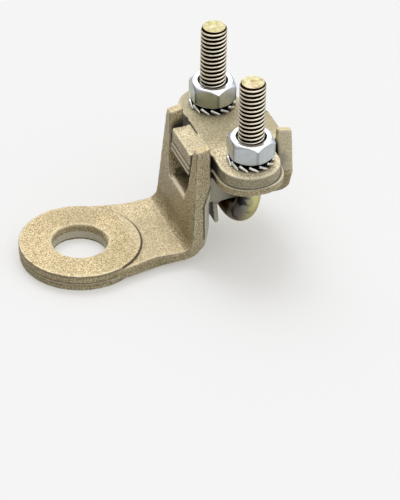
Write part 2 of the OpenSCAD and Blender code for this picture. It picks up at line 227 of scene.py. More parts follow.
yellowFinish = {
    "straw": rgb(240, 230, 186),
    "green": rgb(226, 228, 164),
    "pink": rgb(236, 208, 190),
    "crest": rgb(242, 229, 190),
    "glint": rgb(255, 251, 236),  # upper flanks of the thread
    "flank": rgb(126, 92, 58),  # painted shade halfway down the thread
    "root": rgb(20, 15, 13),  # painted shade at the bottom of the thread
    "tip": rgb(148, 143, 98),
    "bendLeft": rgb(120, 119, 122),  # on the bend, where the film is thin; painted darker at the left as shade
    "bendRight": rgb(206, 202, 146),
    # painted shade and dark reflection on the bend, strongest at the left
    "bendDark": rgb(34, 30, 36),
    "edgeTint": (0.55, 0.50, 0.44, 1.0),  # of reflections at a grazing angle
    "film": (1000 / 190, 2.0, 0.5),  # soft patches of the passivation film, 190 to the metre
    "fine": (1000 / 1500, 2.0, 0.6),
    "spots": (1.6, 3.0, 0.6),  # on the tips
    "filmStops": (0.30, 0.42, 0.60, 0.74),  # pink, straw, straw, green
    "bendAcross": (0.0448, 0.0486),  # X in metres from the left colour to the right one
    "bendDarkEdge": (0.48, 0.56),  # values of the film's noise between which the painted shade on the bend sets in
    "bendDarkShare": (0.9, 0.1),  # at the left and at the right
    "thinBelow": (0.024, 0.031),  # heights in metres between which the film thins out
    "crestBelow": (0.0612, 0.0615),  # heights in metres between which the crests end at the tip
    "pinkEdge": (0.5, 0.62),  # values of the tips' spots
    "dullEdge": (0.46, 0.34),
    "bendLayers": [
        # painted shade on the bend: dark patches, and where other surfaces hide the sky
        ("dark", None, 1.0, "bendDark"),
        ("hidden", (0.35, 0.75), 1.0, "root"),
    ],
    "layers": [
        ("tip", None, 0.7, "tip"),
        ("pinkSpots", None, 0.5, "pink"),
        ("dullSpots", None, 0.5, "flank"),
        ("crest", None, 0.75, "crest"),
        ("fine", (0.5, 0.8), 0.25, "flank"),
        # painted highlight on the upper flanks, painted shade on the lower flanks and in the groove
        ("slope", (0.5, 0.9), 1.0, "glint"),
        ("slope", (0.46, 0.2), 1.0, "flank"),
        ("slope", (0.28, 0.06), 1.0, "root"),
        ("groove", (0.12, 0.34), 1.0, "flank"),
        ("groove", (0.26, 0.5), 1.0, "root"),
    ],
    "metallic": 1.0,
    "roughness": 0.3,
    "roughSpread": 0.2,
    "grooveRough": 0.3,
    "bumpDepth": 0.03,  # mm
    "bumpStrength": 0.25,
}


def makeYellowZinc(name, finish):
    material, shader, place = newMaterial(name)
    across = place.part("X")
    height = place.part("Z")
    film, fine, spots = [noise(place, finish[key]) for key in ("film", "fine", "spots")]
    tones = [finish[key] for key in ("pink", "straw", "straw", "green")]
    plated = film.add("ShaderNodeValToRGB", {"stops": list(zip(finish["filmStops"], tones))}, {0: film})
    onStud = height.ease(*finish["thinBelow"])
    atTip = height.ease(*finish["crestBelow"])
    masks = meshMasks(place, ("groove", "slope", "hidden"))  # slope is 1 on the upper flanks, which are painted lit; the groove and hidden bring painted shade
    bendDark = across.ease(*finish["bendAcross"], *finish["bendDarkShare"])
    masks.update(
        fine=fine, tip=atTip, crest=onStud * (1 - atTip),
        pinkSpots=atTip * spots.ease(*finish["pinkEdge"]),
        dullSpots=atTip * spots.ease(*finish["dullEdge"]),
        dark=film.ease(*finish["bendDarkEdge"]) * bendDark)
    bend = across.ease(*finish["bendAcross"]).tint(finish["bendLeft"], finish["bendRight"])
    bend = layered(bend, masks, finish["bendLayers"], finish)
    colour = layered(onStud.tint(bend, plated), masks, finish["layers"], finish)
    roughness = finish["roughness"] + (fine - noiseMean) * finish["roughSpread"]
    roughness = roughness + masks["groove"] * finish["grooveRough"]
    shader.inputs["Specular Tint"].default_value = finish["edgeTint"]
    dressShader(shader, finish, colour, roughness, fine)
    return material


zincFinish = {
    "bright": rgb(248, 247, 250),
    "dull": rgb(226, 228, 232),
    "flat": rgb(178, 184, 184),  # painted reflection: the flats are darker, mirroring what stands round them
    "gap": rgb(90, 92, 80),  # painted shade in the countersink
    "edge": rgb(66, 68, 66),  # thin shade along the corners
    "drawn": (0.625, 2.0, 0.6),  # marks along the bar that the nut was cut from
    "drawnStretch": (1.0, 1.0, 0.15),
    "cloud": (1000 / 420, 2.0, 0.5),
    "flatShare": 0.8,  # dullness of the flats, and what the clouds add to it
    "flatCloud": 0.3,
    "layers": [
        ("cloud", (0.35, 0.75), 0.7, "dull"),
        ("flat", None, 1.0, "flat"),
        ("gap", None, 1.0, "gap"),
        ("edge", None, 0.4, "edge"),
    ],
    "metallic": 1.0,
    "roughness": 0.32,
    "drawnSpread": 0.16,
    "cloudSpread": 0.1,
    "bumpDepth": 0.03,  # mm
    "bumpStrength": 0.2,
}
# the far nut's flats get a painted olive reflection of the keeper
oliveReflectionFinish = dict(zincFinish, flat=rgb(158, 164, 146))
springFinish = dict(zincFinish, bright=rgb(245, 245, 242), dull=rgb(200, 200, 196), flat=rgb(200, 200, 196),
                    gap=rgb(22, 22, 22), roughness=0.24)  # its gap is the shade between the teeth


def makeBrightZinc(name, finish):
    material, shader, place = newMaterial(name)
    stretched = place.add("ShaderNodeMapping", None, {"Vector": place, "Scale": finish["drawnStretch"]})
    drawn = noise(stretched, finish["drawn"])
    cloud = noise(place, finish["cloud"])
    masks = meshMasks(place, ("flat", "gap", "edge"))
    masks.update(cloud=cloud, flat=masks["flat"] * (finish["flatShare"] + cloud * finish["flatCloud"]))
    colour = layered(finish["bright"], masks, finish["layers"], finish)
    roughness = finish["roughness"] + (drawn - noiseMean) * finish["drawnSpread"]
    roughness = roughness + (cloud - noiseMean) * finish["cloudSpread"]
    dressShader(shader, finish, colour, roughness, drawn)
    return material


castBronze = makeCastBronze("castBronze", castFinish)
keeperBronze = makeCastBronze("keeperBronze", keeperFinish)
yellowZinc = makeYellowZinc("yellowZinc", yellowFinish)
brightZinc = makeBrightZinc("brightZinc", zincFinish)
zincOliveReflection = makeBrightZinc("zincOliveReflection", oliveReflectionFinish)
springZinc = makeBrightZinc("springZinc", springFinish)
print("finishes: made", len(bpy.data.materials))


# Helpers for meshes

def link(name, data):
    item = bpy.data.objects.new(name, data)
    bpy.context.scene.collection.objects.link(item)
    return item


def finishPiece(name, mesh, node, body):  # stands for a CAD node and rides on its body
    piece = link(name, mesh)
    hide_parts(node)
    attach(piece, body)
    print("piece:", name, len(mesh.polygons), "faces")
    return piece


def modified(mesh, kind, settings, inputs=None):  # what a modifier makes of a mesh, which goes
    carrier = link("carrier", mesh)
    modifier = carrier.modifiers.new("build", kind)
    for name, value in settings.items():
        setattr(modifier, name, value)
    for name, value in (inputs or {}).items():
        modifier[name] = value
    graph = bpy.context.evaluated_depsgraph_get()
    result = bpy.data.meshes.new_from_object(carrier.evaluated_get(graph))
    bpy.data.objects.remove(carrier)
    bpy.data.meshes.remove(mesh)
    return result


def smoothShade(mesh):
    mesh.polygons.foreach_set("use_smooth", [True] * len(mesh.polygons))


def readValues(items, field, width, kind=np.float64):
    values = np.empty(len(items) * width, dtype=kind)
    items.foreach_get(field, values)
    return values.reshape(-1, width)


def meshPoints(mesh):
    return readValues(mesh.vertices, "co", 3)


def meshNormals(mesh):
    return readValues(mesh.vertices, "normal", 3)


def meshEdges(mesh):
    return readValues(mesh.edges, "vertices", 2, np.int64)


def fromAxis(mesh, centre):  # distance of each point from an upright axis, in mm
    points = meshPoints(mesh)
    return np.hypot(points[:, 0] - centre.x, points[:, 1] - centre.y) / mm


def setPoints(mesh, name, values):  # a number from 0 to 1 at each point, for a material to read
    layer = mesh.attributes.new(name, "FLOAT", "POINT")
    layer.data.foreach_set("value", np.clip(values, 0, 1).astype(np.float32))


def neighbourMean(mesh):  # returns a function that averages values over each point's neighbours
    edges = meshEdges(mesh)
    count = len(mesh.vertices)
    heads = np.concatenate((edges[:, 0], edges[:, 1]))
    tails = np.concatenate((edges[:, 1], edges[:, 0]))
    degree = np.bincount(heads, minlength=count).clip(1)

    def mean(values):
        if values.ndim == 1:
            return np.bincount(heads, weights=values[tails], minlength=count) / degree
        return np.stack([mean(column) for column in values.T], axis=1)

    return mean


def bridge(shape, first, second):  # faces between two closed rows of corners
    faces = []
    for i in range(len(first)):
        j = (i + 1) % len(first)
        faces.append(shape.faces.new((first[i], second[i], second[j], first[j])))
    return faces


def ramp(values, low, high):  # 0 up to low, 1 from high on
    return np.clip((values - low) / (high - low), 0, 1)


def between(values, limits):
    return (values > limits[0]) & (values < limits[1])


# Castings: the solids with the rounding of a sand casting

castings = {
    "lug_body": {"piece": "castLug", "body": "lug", "finish": castBronze, "voxel": 0.27, "keep": 0.5},
    "keeper": {"piece": "castKeeper", "body": "clamp", "finish": keeperBronze, "voxel": 0.22, "keep": 0.8},
}
rounding = {"steps": 16, "pull": 0.5, "palm": 0.1, "wall": 0.4, "postTops": 0.5}  # strength in each region
edgeMarks = {"reach": 4, "blur": 2, "wear": 0.12, "cavity": 0.10}  # steps, then mm for a full mark
foundry = {  # places in mm
    "weld": 1e-6,  # metres within which doubled corners merge
    "palmEnd": (20.0, 29.0),  # X from the palm's crisp edges to the rounder wall
    "postTops": (35.5, 37.5),  # Z above which the posts are roundest
    "lipRoot": (14.6, 16.2),  # Z below which the lip is narrowed
    "lipX": (37.0, 44.5),
    "lipNarrow": 0.143,
    "wallFront": (30.78, 18.0, 0.0594),  # X and Z on the front wall's face, and its lean
    "wallRear": 36.4,
    "web": [(9.6, 17.2), (5.2, 17.2), (5.5, 18.3), (6.2, 19.4), (7.0, 20.9), (7.7, 22.4), (8.2, 23.8),
            (8.5, 25.4), (9.6, 26.4)],  # Y and Z of the web in the channel's lower corners
    "flank": [(3.9, 18.0), (21.0, 14.5), (21.0, 13.0), (8.0, 13.0), (3.9, 16.0)],  # X and Y by the tongue
    "flankZ": (0.95, 4.75),
    "belly": [(8.0, 4.5), (8.0, 0.95), (21.0, 0.95), (26.0, 1.55), (28.5, 1.75), (31.0, 2.6), (32.5, 3.8),
              (32.5, 6.0), (28.0, 4.5)],  # X and Z under the tongue
    "bellyHalf": (14.4, 21.0, 0.11),  # half width, X from which it widens, and by how much for each mm
    "keeperMiddle": 47.2,  # X
    "gusset": [(-10.7, 7.4), (-8.6, 7.4), (-8.6, 11.0), (-9.6, 10.4), (-10.4, 9.0)],  # X from there, and Y
    "gussetZ": (30.4, 33.8),
}


def addPrism(shell, first, second):  # a closed block between two outlines, in mm
    first = [shell.verts.new(Vector(corner) * mm) for corner in first]
    second = [shell.verts.new(Vector(corner) * mm) for corner in second]
    faces = [shell.faces.new(first), shell.faces.new(second[::-1])]
    faces += bridge(shell, first, second)
    bmesh.ops.recalc_face_normals(shell, faces=faces)


def addWebs(shell):  # fills the channel's lower corners in the front wall
    faceX, faceZ, lean = foundry["wallFront"]
    for side in (1, -1):
        addPrism(shell, [(faceX + lean * (z - faceZ), side * y, z) for y, z in foundry["web"]],
                 [(foundry["wallRear"], side * y, z) for y, z in foundry["web"]])


def addTongue(shell):  # thickens the tongue and lets its sides run off the palm in a straight line
    low, high = foundry["flankZ"]
    for side in (1, -1):
        addPrism(shell, [(x, side * y, low) for x, y in foundry["flank"]],
                 [(x, side * y, high) for x, y in foundry["flank"]])
    half, wideFrom, growth = foundry["bellyHalf"]
    halves = [half + growth * max(0.0, x - wideFrom) for x, z in foundry["belly"]]
    addPrism(shell, [(x, y, z) for (x, z), y in zip(foundry["belly"], halves)],
             [(x, -y, z) for (x, z), y in zip(foundry["belly"], halves)])


def addGussets(shell):  # fillets where the keeper's noses leave its plate
    low, high = foundry["gussetZ"]
    for sideX in (1, -1):
        for sideY in (1, -1):
            plan = [(foundry["keeperMiddle"] + sideX * x, sideY * y) for x, y in foundry["gusset"]]
            addPrism(shell, [(x, y, low) for x, y in plan], [(x, y, high) for x, y in plan])


def castSoftness(points):  # the palm keeps crisp edges, the post tops are roundest
    share = rounding["wall"] - rounding["palm"]
    share = rounding["palm"] + share * ramp(points[:, 0] / mm, *foundry["palmEnd"])
    return share + (rounding["postTops"] - share) * ramp(points[:, 2] / mm, *foundry["postTops"])


def soften(mesh):  # rounds the edges
    points = meshPoints(mesh)
    mean = neighbourMean(mesh)
    share = rounding["pull"] * castSoftness(points)[:, None]
    for step in range(rounding["steps"]):
        points += share * (mean(points) - points)
    mesh.vertices.foreach_set("co", points.ravel())
    mesh.update()


def narrowLip(mesh):
    points = meshPoints(mesh)
    inLip = between(points[:, 0] / mm, foundry["lipX"])
    points[:, 1] *= 1 - foundry["lipNarrow"] * inLip * (1 - ramp(points[:, 2] / mm, *foundry["lipRoot"]))
    mesh.vertices.foreach_set("co", points.ravel())


def markEdges(mesh, settings):
    # how convex or hollow the surface is at each point, for worn edges and painted shade in inner corners
    points = meshPoints(mesh)
    mean = neighbourMean(mesh)
    middle = points
    for step in range(settings["reach"]):
        middle = mean(middle)
    bulge = ((points - middle) * meshNormals(mesh)).sum(1) / mm
    for step in range(settings["blur"]):
        bulge = (bulge + mean(bulge)) / 2
    setPoints(mesh, "wear", bulge / settings["wear"])
    setPoints(mesh, "cavity", -bulge / settings["cavity"])


def makeCasting(node, sizes):
    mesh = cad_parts[node].data.copy()
    shell = bmesh.new()
    shell.from_mesh(mesh)
    bmesh.ops.remove_doubles(shell, verts=shell.verts, dist=foundry["weld"])
    if node == "lug_body":
        addWebs(shell)
        addTongue(shell)
    else:
        addGussets(shell)
    shell.to_mesh(mesh)
    shell.free()
    mesh.materials.clear()
    skin = modified(mesh, "REMESH", {"mode": "VOXEL", "voxel_size": sizes["voxel"] * mm})
    soften(skin)
    if node == "lug_body":
        narrowLip(skin)
    skin = modified(skin, "DECIMATE", {"ratio": sizes["keep"]})
    smoothShade(skin)
    markEdges(skin, edgeMarks)
    skin.materials.append(sizes["finish"])
    return finishPiece(sizes["piece"], skin, node, sizes["body"])


castPieces = {nodeName: makeCasting(nodeName, sizes) for nodeName, sizes in castings.items()}


# Helpers for Geometry Nodes

def newTree(name, inputs):
    tree = bpy.data.node_groups.new(name, "GeometryNodeTree")
    for label, kind in inputs.items():
        tree.interface.new_socket(label, in_out="INPUT", socket_type="NodeSocket" + kind)
    tree.interface.new_socket("Geometry", in_out="OUTPUT", socket_type="NodeSocketGeometry")
    entry = tree.nodes.new("NodeGroupInput")
    return tree, {label: Wire(tree, entry.outputs[label]) for label in inputs}


def joined(tree, shapes):
    join = tree.nodes.new("GeometryNodeJoinGeometry")
    for shape in shapes:
        tree.links.new(shape.socket, join.inputs[0])
    return Wire(tree, join.outputs[0])


def closeTree(tree, geometry, material):
    realized = geometry.add("GeometryNodeRealizeInstances", None, {"Geometry": geometry})
    dressed = geometry.add("GeometryNodeSetMaterial", None, {"Geometry": realized, "Material": material})
    exitNode = tree.nodes.new("NodeGroupOutput")
    tree.links.new(dressed.socket, exitNode.inputs[0])


def socketId(tree, name):
    return next(item.identifier for item in tree.interface.items_tree
                if item.item_type == "SOCKET" and item.in_out == "INPUT" and item.name == name)


def runTree(tree, values):
    inputs = {socketId(tree, name): value for name, value in values.items()}
    return modified(bpy.data.meshes.new("carrier"), "NODES", {"node_group": tree}, inputs)


# U-bolt: a bent rod with a rolled thread on each leg

uBolt = {  # lengths in mm
    "threadRadius": 3.97,
    "threadDepth": 0.80,
    "pitch": 1.411,
    "threadLength": 33.0,
    "crestEdge": (0.16, 0.80),  # share of a flank, from root to crest, over which it rises
    "runOut": 2.0,  # turns over which the thread grows to its depth
    "spareTurns": 100.0,  # keeps the phase above zero
    "tipRadius": 3.4,
    "tipHeight": 0.8,
    "tipGap": 0.01,  # points within this of the top are on the tip
    "tipRim": 0.9,  # share of the tip's radius where its rim starts
    "rodRadius": 3.55,
    "rodOverlap": 0.3,  # how far the rod reaches into the thread
    "around": 96,
    "ringsPerTurn": 14,
    "rodSides": 48,
    "bendSteps": 64,
    "legSteps": 6,
    "weld": 1e-6,  # metres
}


def makeThreadTree(sizes):
    tree, ways = newTree("rolledThread", {
        "Radius": "Float", "Depth": "Float", "Pitch": "Float", "Length": "Float", "Tip Radius": "Float",
        "Tip Height": "Float", "Columns": "Int", "Rings": "Int"})
    start = Wire(tree)
    sheet = start.add("GeometryNodeMeshGrid", None, {
        "Size X": 1.0, "Size Y": 1.0, "Vertices X": ways["Columns"] + 1, "Vertices Y": ways["Rings"]})
    place = start.add("GeometryNodeInputPosition")
    across = place.part("X") + 0.5  # 0 to 1 over the sheet
    along = place.part("Y") + 0.5
    height = along * ways["Length"]
    phase = start.sum("FRACT", height / ways["Pitch"] - across + sizes["spareTurns"])
    wave = start.sum("ABSOLUTE", phase * 2.0 - 1.0)  # 1 at the crest, 0 in the root
    crest = wave.ease(*sizes["crestEdge"])
    runOut = (height / ways["Pitch"]).ease(0.0, sizes["runOut"])
    radius = ways["Radius"] - ways["Depth"] * (1.0 - crest) * runOut
    toTip = ways["Length"] - height
    cone = ways["Tip Radius"] + (ways["Radius"] - ways["Tip Radius"]) * (toTip / ways["Tip Height"])
    radius = start.sum("MINIMUM", radius, cone)
    angle = across * fullTurn
    spot = start.point(radius * start.sum("COSINE", angle), radius * start.sum("SINE", angle), height)
    bent = start.add("GeometryNodeSetPosition", None, {"Geometry": sheet, "Position": spot})
    lid = start.add("GeometryNodeMeshCircle", {"fill_type": "TRIANGLE_FAN"}, {
        "Vertices": ways["Columns"], "Radius": ways["Tip Radius"]})
    lidPlace = start.point(0.0, 0.0, ways["Length"])
    lid = start.add("GeometryNodeTransform", None, {"Geometry": lid, "Translation": lidPlace})
    merged = start.add("GeometryNodeMergeByDistance", None, {
        "Geometry": joined(tree, [lid, bent]), "Distance": sizes["weld"]})
    smooth = start.add("GeometryNodeSetShadeSmooth", None, {"Geometry": merged, "Shade Smooth": True})
    closeTree(tree, smooth, yellowZinc)
    return tree


def makeRod(low, high, sizes, top):
    # rings along the left leg, round the bend and up the right leg
    centreX = (low.x + high.x) / 2
    legY = high.y - sizes["threadRadius"] * mm
    rodRadius = sizes["rodRadius"] * mm
    bendZ = low.z + rodRadius + legY
    sides, bendSteps = sizes["rodSides"], sizes["bendSteps"]
    legHeights = np.linspace(top, bendZ, sizes["legSteps"])[:-1]
    path = [(Vector((centreX, legY, z)), Vector((0, 1, 0))) for z in legHeights]
    for step in range(bendSteps + 1):
        turn = math.pi * step / bendSteps
        outward = Vector((0, math.cos(turn), -math.sin(turn)))
        path.append((Vector((centreX, 0, bendZ)) + outward * legY, outward))
    path += [(Vector((centreX, -legY, z)), Vector((0, -1, 0))) for z in legHeights[::-1]]
    rod = bmesh.new()
    rings = []
    for centre, outward in path:
        ring = []
        for i in range(sides):
            turn = fullTurn * i / sides
            spoke = math.cos(turn) * outward + math.sin(turn) * Vector((1, 0, 0))
            ring.append(rod.verts.new(centre + rodRadius * spoke))
        rings.append(ring)
    for first, second in zip(rings, rings[1:]):
        bridge(rod, first, second)
    rod.faces.new(rings[0])
    rod.faces.new(rings[-1][::-1])
    bmesh.ops.recalc_face_normals(rod, faces=rod.faces)
    return rod, centreX, legY


def markThread(mesh, foot, top, sizes):
    # how deep each point lies in the thread and which flank it is on, for painted shade in the groove and
    # painted highlights on the upper flanks, and a crisp rim on the flat tips
    x, y, z = meshPoints(mesh).T
    fromLeg = np.hypot(x - foot.x, np.abs(y) - foot.y)
    depth = (sizes["threadRadius"] * mm - fromLeg) / (sizes["threadDepth"] * mm)
    tipZ = top - sizes["tipGap"] * mm
    onThread = between(z, (foot.z + sizes["pitch"] * mm, tipZ))
    setPoints(mesh, "groove", np.where(onThread, depth, 0))
    turns = np.arctan2(y - np.sign(y) * foot.y, x - foot.x) / fullTurn
    phase = (z - foot.z) / (sizes["pitch"] * mm) - turns
    setPoints(mesh, "slope", (1 + np.where(onThread, np.sin(fullTurn * phase), 0)) / 2)
    onRim = (z > tipZ) & (fromLeg > sizes["tipRim"] * sizes["tipRadius"] * mm)
    mesh.edges.foreach_set("use_edge_sharp", onRim[meshEdges(mesh)].all(axis=1))


def makeUBolt(sizes):
    low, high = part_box("u_bolt")
    rings = round(sizes["threadLength"] / sizes["pitch"] * sizes["ringsPerTurn"])
    thread = runTree(makeThreadTree(sizes), {
        "Radius": sizes["threadRadius"] * mm, "Depth": sizes["threadDepth"] * mm,
        "Pitch": sizes["pitch"] * mm, "Length": sizes["threadLength"] * mm,
        "Tip Radius": sizes["tipRadius"] * mm, "Tip Height": sizes["tipHeight"] * mm,
        "Columns": sizes["around"], "Rings": rings})
    threadZ = high.z - sizes["threadLength"] * mm
    rod, centreX, legY = makeRod(low, high, sizes, threadZ + sizes["rodOverlap"] * mm)
    for side in (1, -1):
        stud = thread.copy()
        stud.transform(Matrix.Translation((centreX, side * legY, threadZ)))
        rod.from_mesh(stud)
        bpy.data.meshes.remove(stud)
    mesh = bpy.data.meshes.new("threadedUBolt")
    rod.to_mesh(mesh)
    rod.free()
    bpy.data.meshes.remove(thread)
    smoothShade(mesh)
    markThread(mesh, Vector((centreX, legY, threadZ)), high.z, sizes)
    mesh.materials.clear()
    mesh.materials.append(yellowZinc)
    mesh.polygons.foreach_set("material_index", [0] * len(mesh.polygons))
    return finishPiece("threadedUBolt", mesh, "u_bolt", "lug")


boltPiece = makeUBolt(uBolt)


# Hexagon nuts

hexNut = {  # lengths in mm, angles in degrees
    "sides": 6,
    "acrossFlats": 12.96,
    "bore": 4.02,
    "sink": 0.7,
    "faceRadius": 6.05,  # where the end face turns down to the corners
    "chamferSlope": 0.84,
    "cornerRound": 0.3,
    "cornerPoints": 4,
    "edgeRound": 0.12,
    "edgeCurve": (0.3, 0.2),  # inset and drop of the point halfway round the edge, as shares of edgeRound
    "shadeTo": 2.5,  # where the shade under the edge has faded, likewise
    "flatSteps": 14,
    "shadedRings": (8, 14),  # places along the outline: under the upper chamfer, and on the lower one
    "cornerRings": (7, 15),  # corners are shaded between these places
    "cornerBand": 0.1,
    "sinkShadeTo": 0.9,  # share of the countersink in painted shade
    "sharpAngle": 22.0,
    "flatFacing": 0.3,  # a face that points up or down by less than this is a flat
    "paleReflectFacing": 0.2,  # a flat that points to +X by more than this gets a paler painted reflection
}
nuts = {
    "nut_left": {"piece": "hexNutLeft", "body": "nut_left_body", "finish": zincOliveReflection, "turn": 23.5,
                 "reflectShare": 0.6},  # how dark the painted reflection on such flats still is
    "nut_right": {"piece": "hexNutRight", "body": "nut_right_body", "finish": brightZinc, "turn": 25.0,
                  "reflectShare": 0.92},
}


def nutRim(sizes):
    # angle and radius of each point round a hexagon with slightly rounded corners
    half = sizes["acrossFlats"] / 2
    tight = sizes["cornerRound"]
    side = fullTurn / sizes["sides"]
    arcCentre = (half - tight) / math.cos(side / 2)
    arcEnd = math.atan2(tight * math.sin(side / 2), arcCentre + tight * math.cos(side / 2))
    rim = []
    for corner in range(sizes["sides"]):
        for offset in np.linspace(-arcEnd, arcEnd, sizes["cornerPoints"]):
            reach = arcCentre * math.sin(offset)
            radius = arcCentre * math.cos(offset) + math.sqrt(tight ** 2 - reach ** 2)
            rim.append((corner * side + offset, radius))
        for step in range(1, sizes["flatSteps"]):
            offset = arcEnd + (side - 2 * arcEnd) * step / sizes["flatSteps"]
            rim.append((corner * side + offset, half / math.cos(offset - side / 2)))
    return rim


def nutProfile(radius, tall, sizes):
    # (distance from the axis, height) from the middle of the bore, over the top, to the middle of the flat
    bore, sink, soft = sizes["bore"], sizes["sink"], sizes["edgeRound"]
    face, slope = sizes["faceRadius"], sizes["chamferSlope"]
    inset, fall = sizes["edgeCurve"]
    edge = tall - (radius - face) * slope
    return [(bore, tall / 2), (bore, tall - sink), (bore + sink - soft, tall - soft), (bore + sink, tall),
            (face - soft, tall), (face + soft, tall - soft * slope), (radius - soft, edge + soft * slope),
            (radius - soft * inset, edge - soft * fall), (radius, edge - soft),
            (radius, edge - sizes["shadeTo"] * soft), (radius, tall / 2)]


def flatTone(normal, reflectShare, sizes):  # how dark a face's painted reflection is
    if abs(normal.z) > sizes["flatFacing"]:
        return 0.0
    return reflectShare if normal.x > sizes["paleReflectFacing"] else 1.0


def makeNut(node, nut, sizes):
    low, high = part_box(node)
    centre = Vector(((low.x + high.x) / 2, (low.y + high.y) / 2, low.z))
    tall = (high.z - low.z) / mm
    rim = nutRim(sizes)
    cornerFrom = max(radius for angle, radius in rim) - sizes["cornerBand"]
    shape = bmesh.new()
    columns = []
    shade = []
    for angle, radius in rim:
        upper = nutProfile(radius, tall, sizes)
        outline = upper + [(r, tall - z) for r, z in reversed(upper[1:-1])]
        heading = angle + math.radians(nut["turn"])
        spots = [Vector((r * math.cos(heading), r * math.sin(heading), z)) for r, z in outline]
        columns.append([shape.verts.new(centre + mm * spot) for spot in spots])
        atCorner = radius > cornerFrom
        shade += [i in sizes["shadedRings"] or (atCorner and between(i, sizes["cornerRings"]))
                  for i in range(len(outline))]
    for first, second in zip(columns, columns[1:] + columns[:1]):
        bridge(shape, first, second)
    bmesh.ops.recalc_face_normals(shape, faces=shape.faces)
    mesh = bpy.data.meshes.new(nut["piece"])
    shape.to_mesh(mesh)
    shape.free()
    smoothShade(mesh)
    mesh.set_sharp_from_angle(angle=math.radians(sizes["sharpAngle"]))
    setPoints(mesh, "gap", fromAxis(mesh, centre) < sizes["bore"] + sizes["sinkShadeTo"] * sizes["sink"])
    setPoints(mesh, "edge", np.array(shade, dtype=float))
    layer = mesh.attributes.new("flat", "FLOAT", "FACE")
    layer.data.foreach_set("value", [flatTone(face.normal, nut["reflectShare"], sizes) for face in mesh.polygons])
    mesh.materials.append(nut["finish"])
    finishPiece(nut["piece"], mesh, node, nut["body"])


for nutNode, nutSettings in nuts.items():
    makeNut(nutNode, nutSettings, hexNut)


# Lock washers with twisted teeth

lockWasher = {  # lengths in mm, angles in degrees
    "teeth": 14,
    "ringInner": 4.2,
    "ringOuter": 6.55,
    "ringSteps": 96,
    "toothOuter": 7.2,
    "toothWidth": 3.5,
    "toothRoot": 0.8,  # how far a tooth reaches into the ring, as a share of the stock
    "toothCuts": (3, 5, 2),  # points of a tooth along X, Y and Z before it is rounded
    "toothLevel": 2,
    "stock": 0.85,
    "twist": -30.0,
    "sharpAngle": 50.0,
    "weld": 1e-7,  # metres
    "darkWithin": (6.56, 6.75),  # distances from the axis between which the shade fades out
}


def makeWasherTree(sizes):
    tree, ways = newTree("twistedTeeth", {
        "Teeth": "Int", "Ring Inner": "Float", "Ring Outer": "Float", "Tooth Outer": "Float",
        "Tooth Width": "Float", "Stock": "Float", "Twist": "Float"})
    start = Wire(tree)
    loop = start.add("GeometryNodeCurvePrimitiveCircle", None, {
        "Resolution": sizes["ringSteps"], "Radius": (ways["Ring Inner"] + ways["Ring Outer"]) * 0.5})
    section = start.add("GeometryNodeCurvePrimitiveQuadrilateral", None, {
        "Width": ways["Ring Outer"] - ways["Ring Inner"], "Height": ways["Stock"]})
    band = start.add("GeometryNodeCurveToMesh", None, {"Curve": loop, "Profile Curve": section})
    root = ways["Stock"] * sizes["toothRoot"]
    length = ways["Tooth Outer"] - ways["Ring Outer"] + root
    size = start.point(length, ways["Tooth Width"], ways["Stock"])
    cutX, cutY, cutZ = sizes["toothCuts"]
    tooth = start.add("GeometryNodeMeshCube", None, {
        "Size": size, "Vertices X": cutX, "Vertices Y": cutY, "Vertices Z": cutZ})
    tooth = start.add("GeometryNodeSubdivisionSurface", None, {"Mesh": tooth, "Level": sizes["toothLevel"]})
    shift = start.point(length * 0.5 - root, 0.0, 0.0)
    tooth = start.add("GeometryNodeTransform", None, {"Geometry": tooth, "Translation": shift})
    spots = start.add("GeometryNodeMeshCircle", None, {
        "Vertices": ways["Teeth"], "Radius": ways["Ring Outer"]})
    index = start.add("GeometryNodeInputIndex")
    turn = start.point(ways["Twist"], 0.0, index / ways["Teeth"] * fullTurn)
    teeth = start.add("GeometryNodeInstanceOnPoints", None, {
        "Points": spots, "Instance": tooth, "Rotation": turn})
    closeTree(tree, joined(tree, [teeth, band]), springZinc)
    return tree


def makeWasher(node, name, tree, sizes):
    low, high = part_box(node)
    centre = (low + high) / 2
    mesh = runTree(tree, {
        "Teeth": sizes["teeth"], "Ring Inner": sizes["ringInner"] * mm, "Ring Outer": sizes["ringOuter"] * mm,
        "Tooth Outer": sizes["toothOuter"] * mm, "Tooth Width": sizes["toothWidth"] * mm,
        "Stock": sizes["stock"] * mm, "Twist": math.radians(sizes["twist"])})
    mesh.transform(Matrix.Translation(centre))
    shape = bmesh.new()
    shape.from_mesh(mesh)
    bmesh.ops.remove_doubles(shape, verts=shape.verts, dist=sizes["weld"])
    bmesh.ops.recalc_face_normals(shape, faces=shape.faces)
    shape.to_mesh(mesh)
    shape.free()
    smoothShade(mesh)
    mesh.set_sharp_from_angle(angle=math.radians(sizes["sharpAngle"]))
    setPoints(mesh, "gap", 1 - ramp(fromAxis(mesh, centre), *sizes["darkWithin"]))
    finishPiece(name, mesh, node, "clamp")


washerTree = makeWasherTree(lockWasher)
makeWasher("washer_left", "toothWasherLeft", washerTree, lockWasher)
makeWasher("washer_right", "toothWasherRight", washerTree, lockWasher)


# Painted shade in the gaps between pieces, from the share of sky that other surfaces hide

occlusionShade = {
    "rays": 20,
    "reach": 7.0,  # mm
    "lift": 0.05,  # mm above the skin where a ray starts
    "spread": 0.95,  # how far rays lean from the skin's normal
    "seed": 7,
}


def joinedTree(pieces):  # one search tree over the pieces' faces
    corners, faces = [], []
    for piece in pieces:
        first = len(corners)
        corners += [vertex.co.copy() for vertex in piece.data.vertices]
        faces += [[first + i for i in face.vertices] for face in piece.data.polygons]
    return BVHTree.FromPolygons(corners, faces)


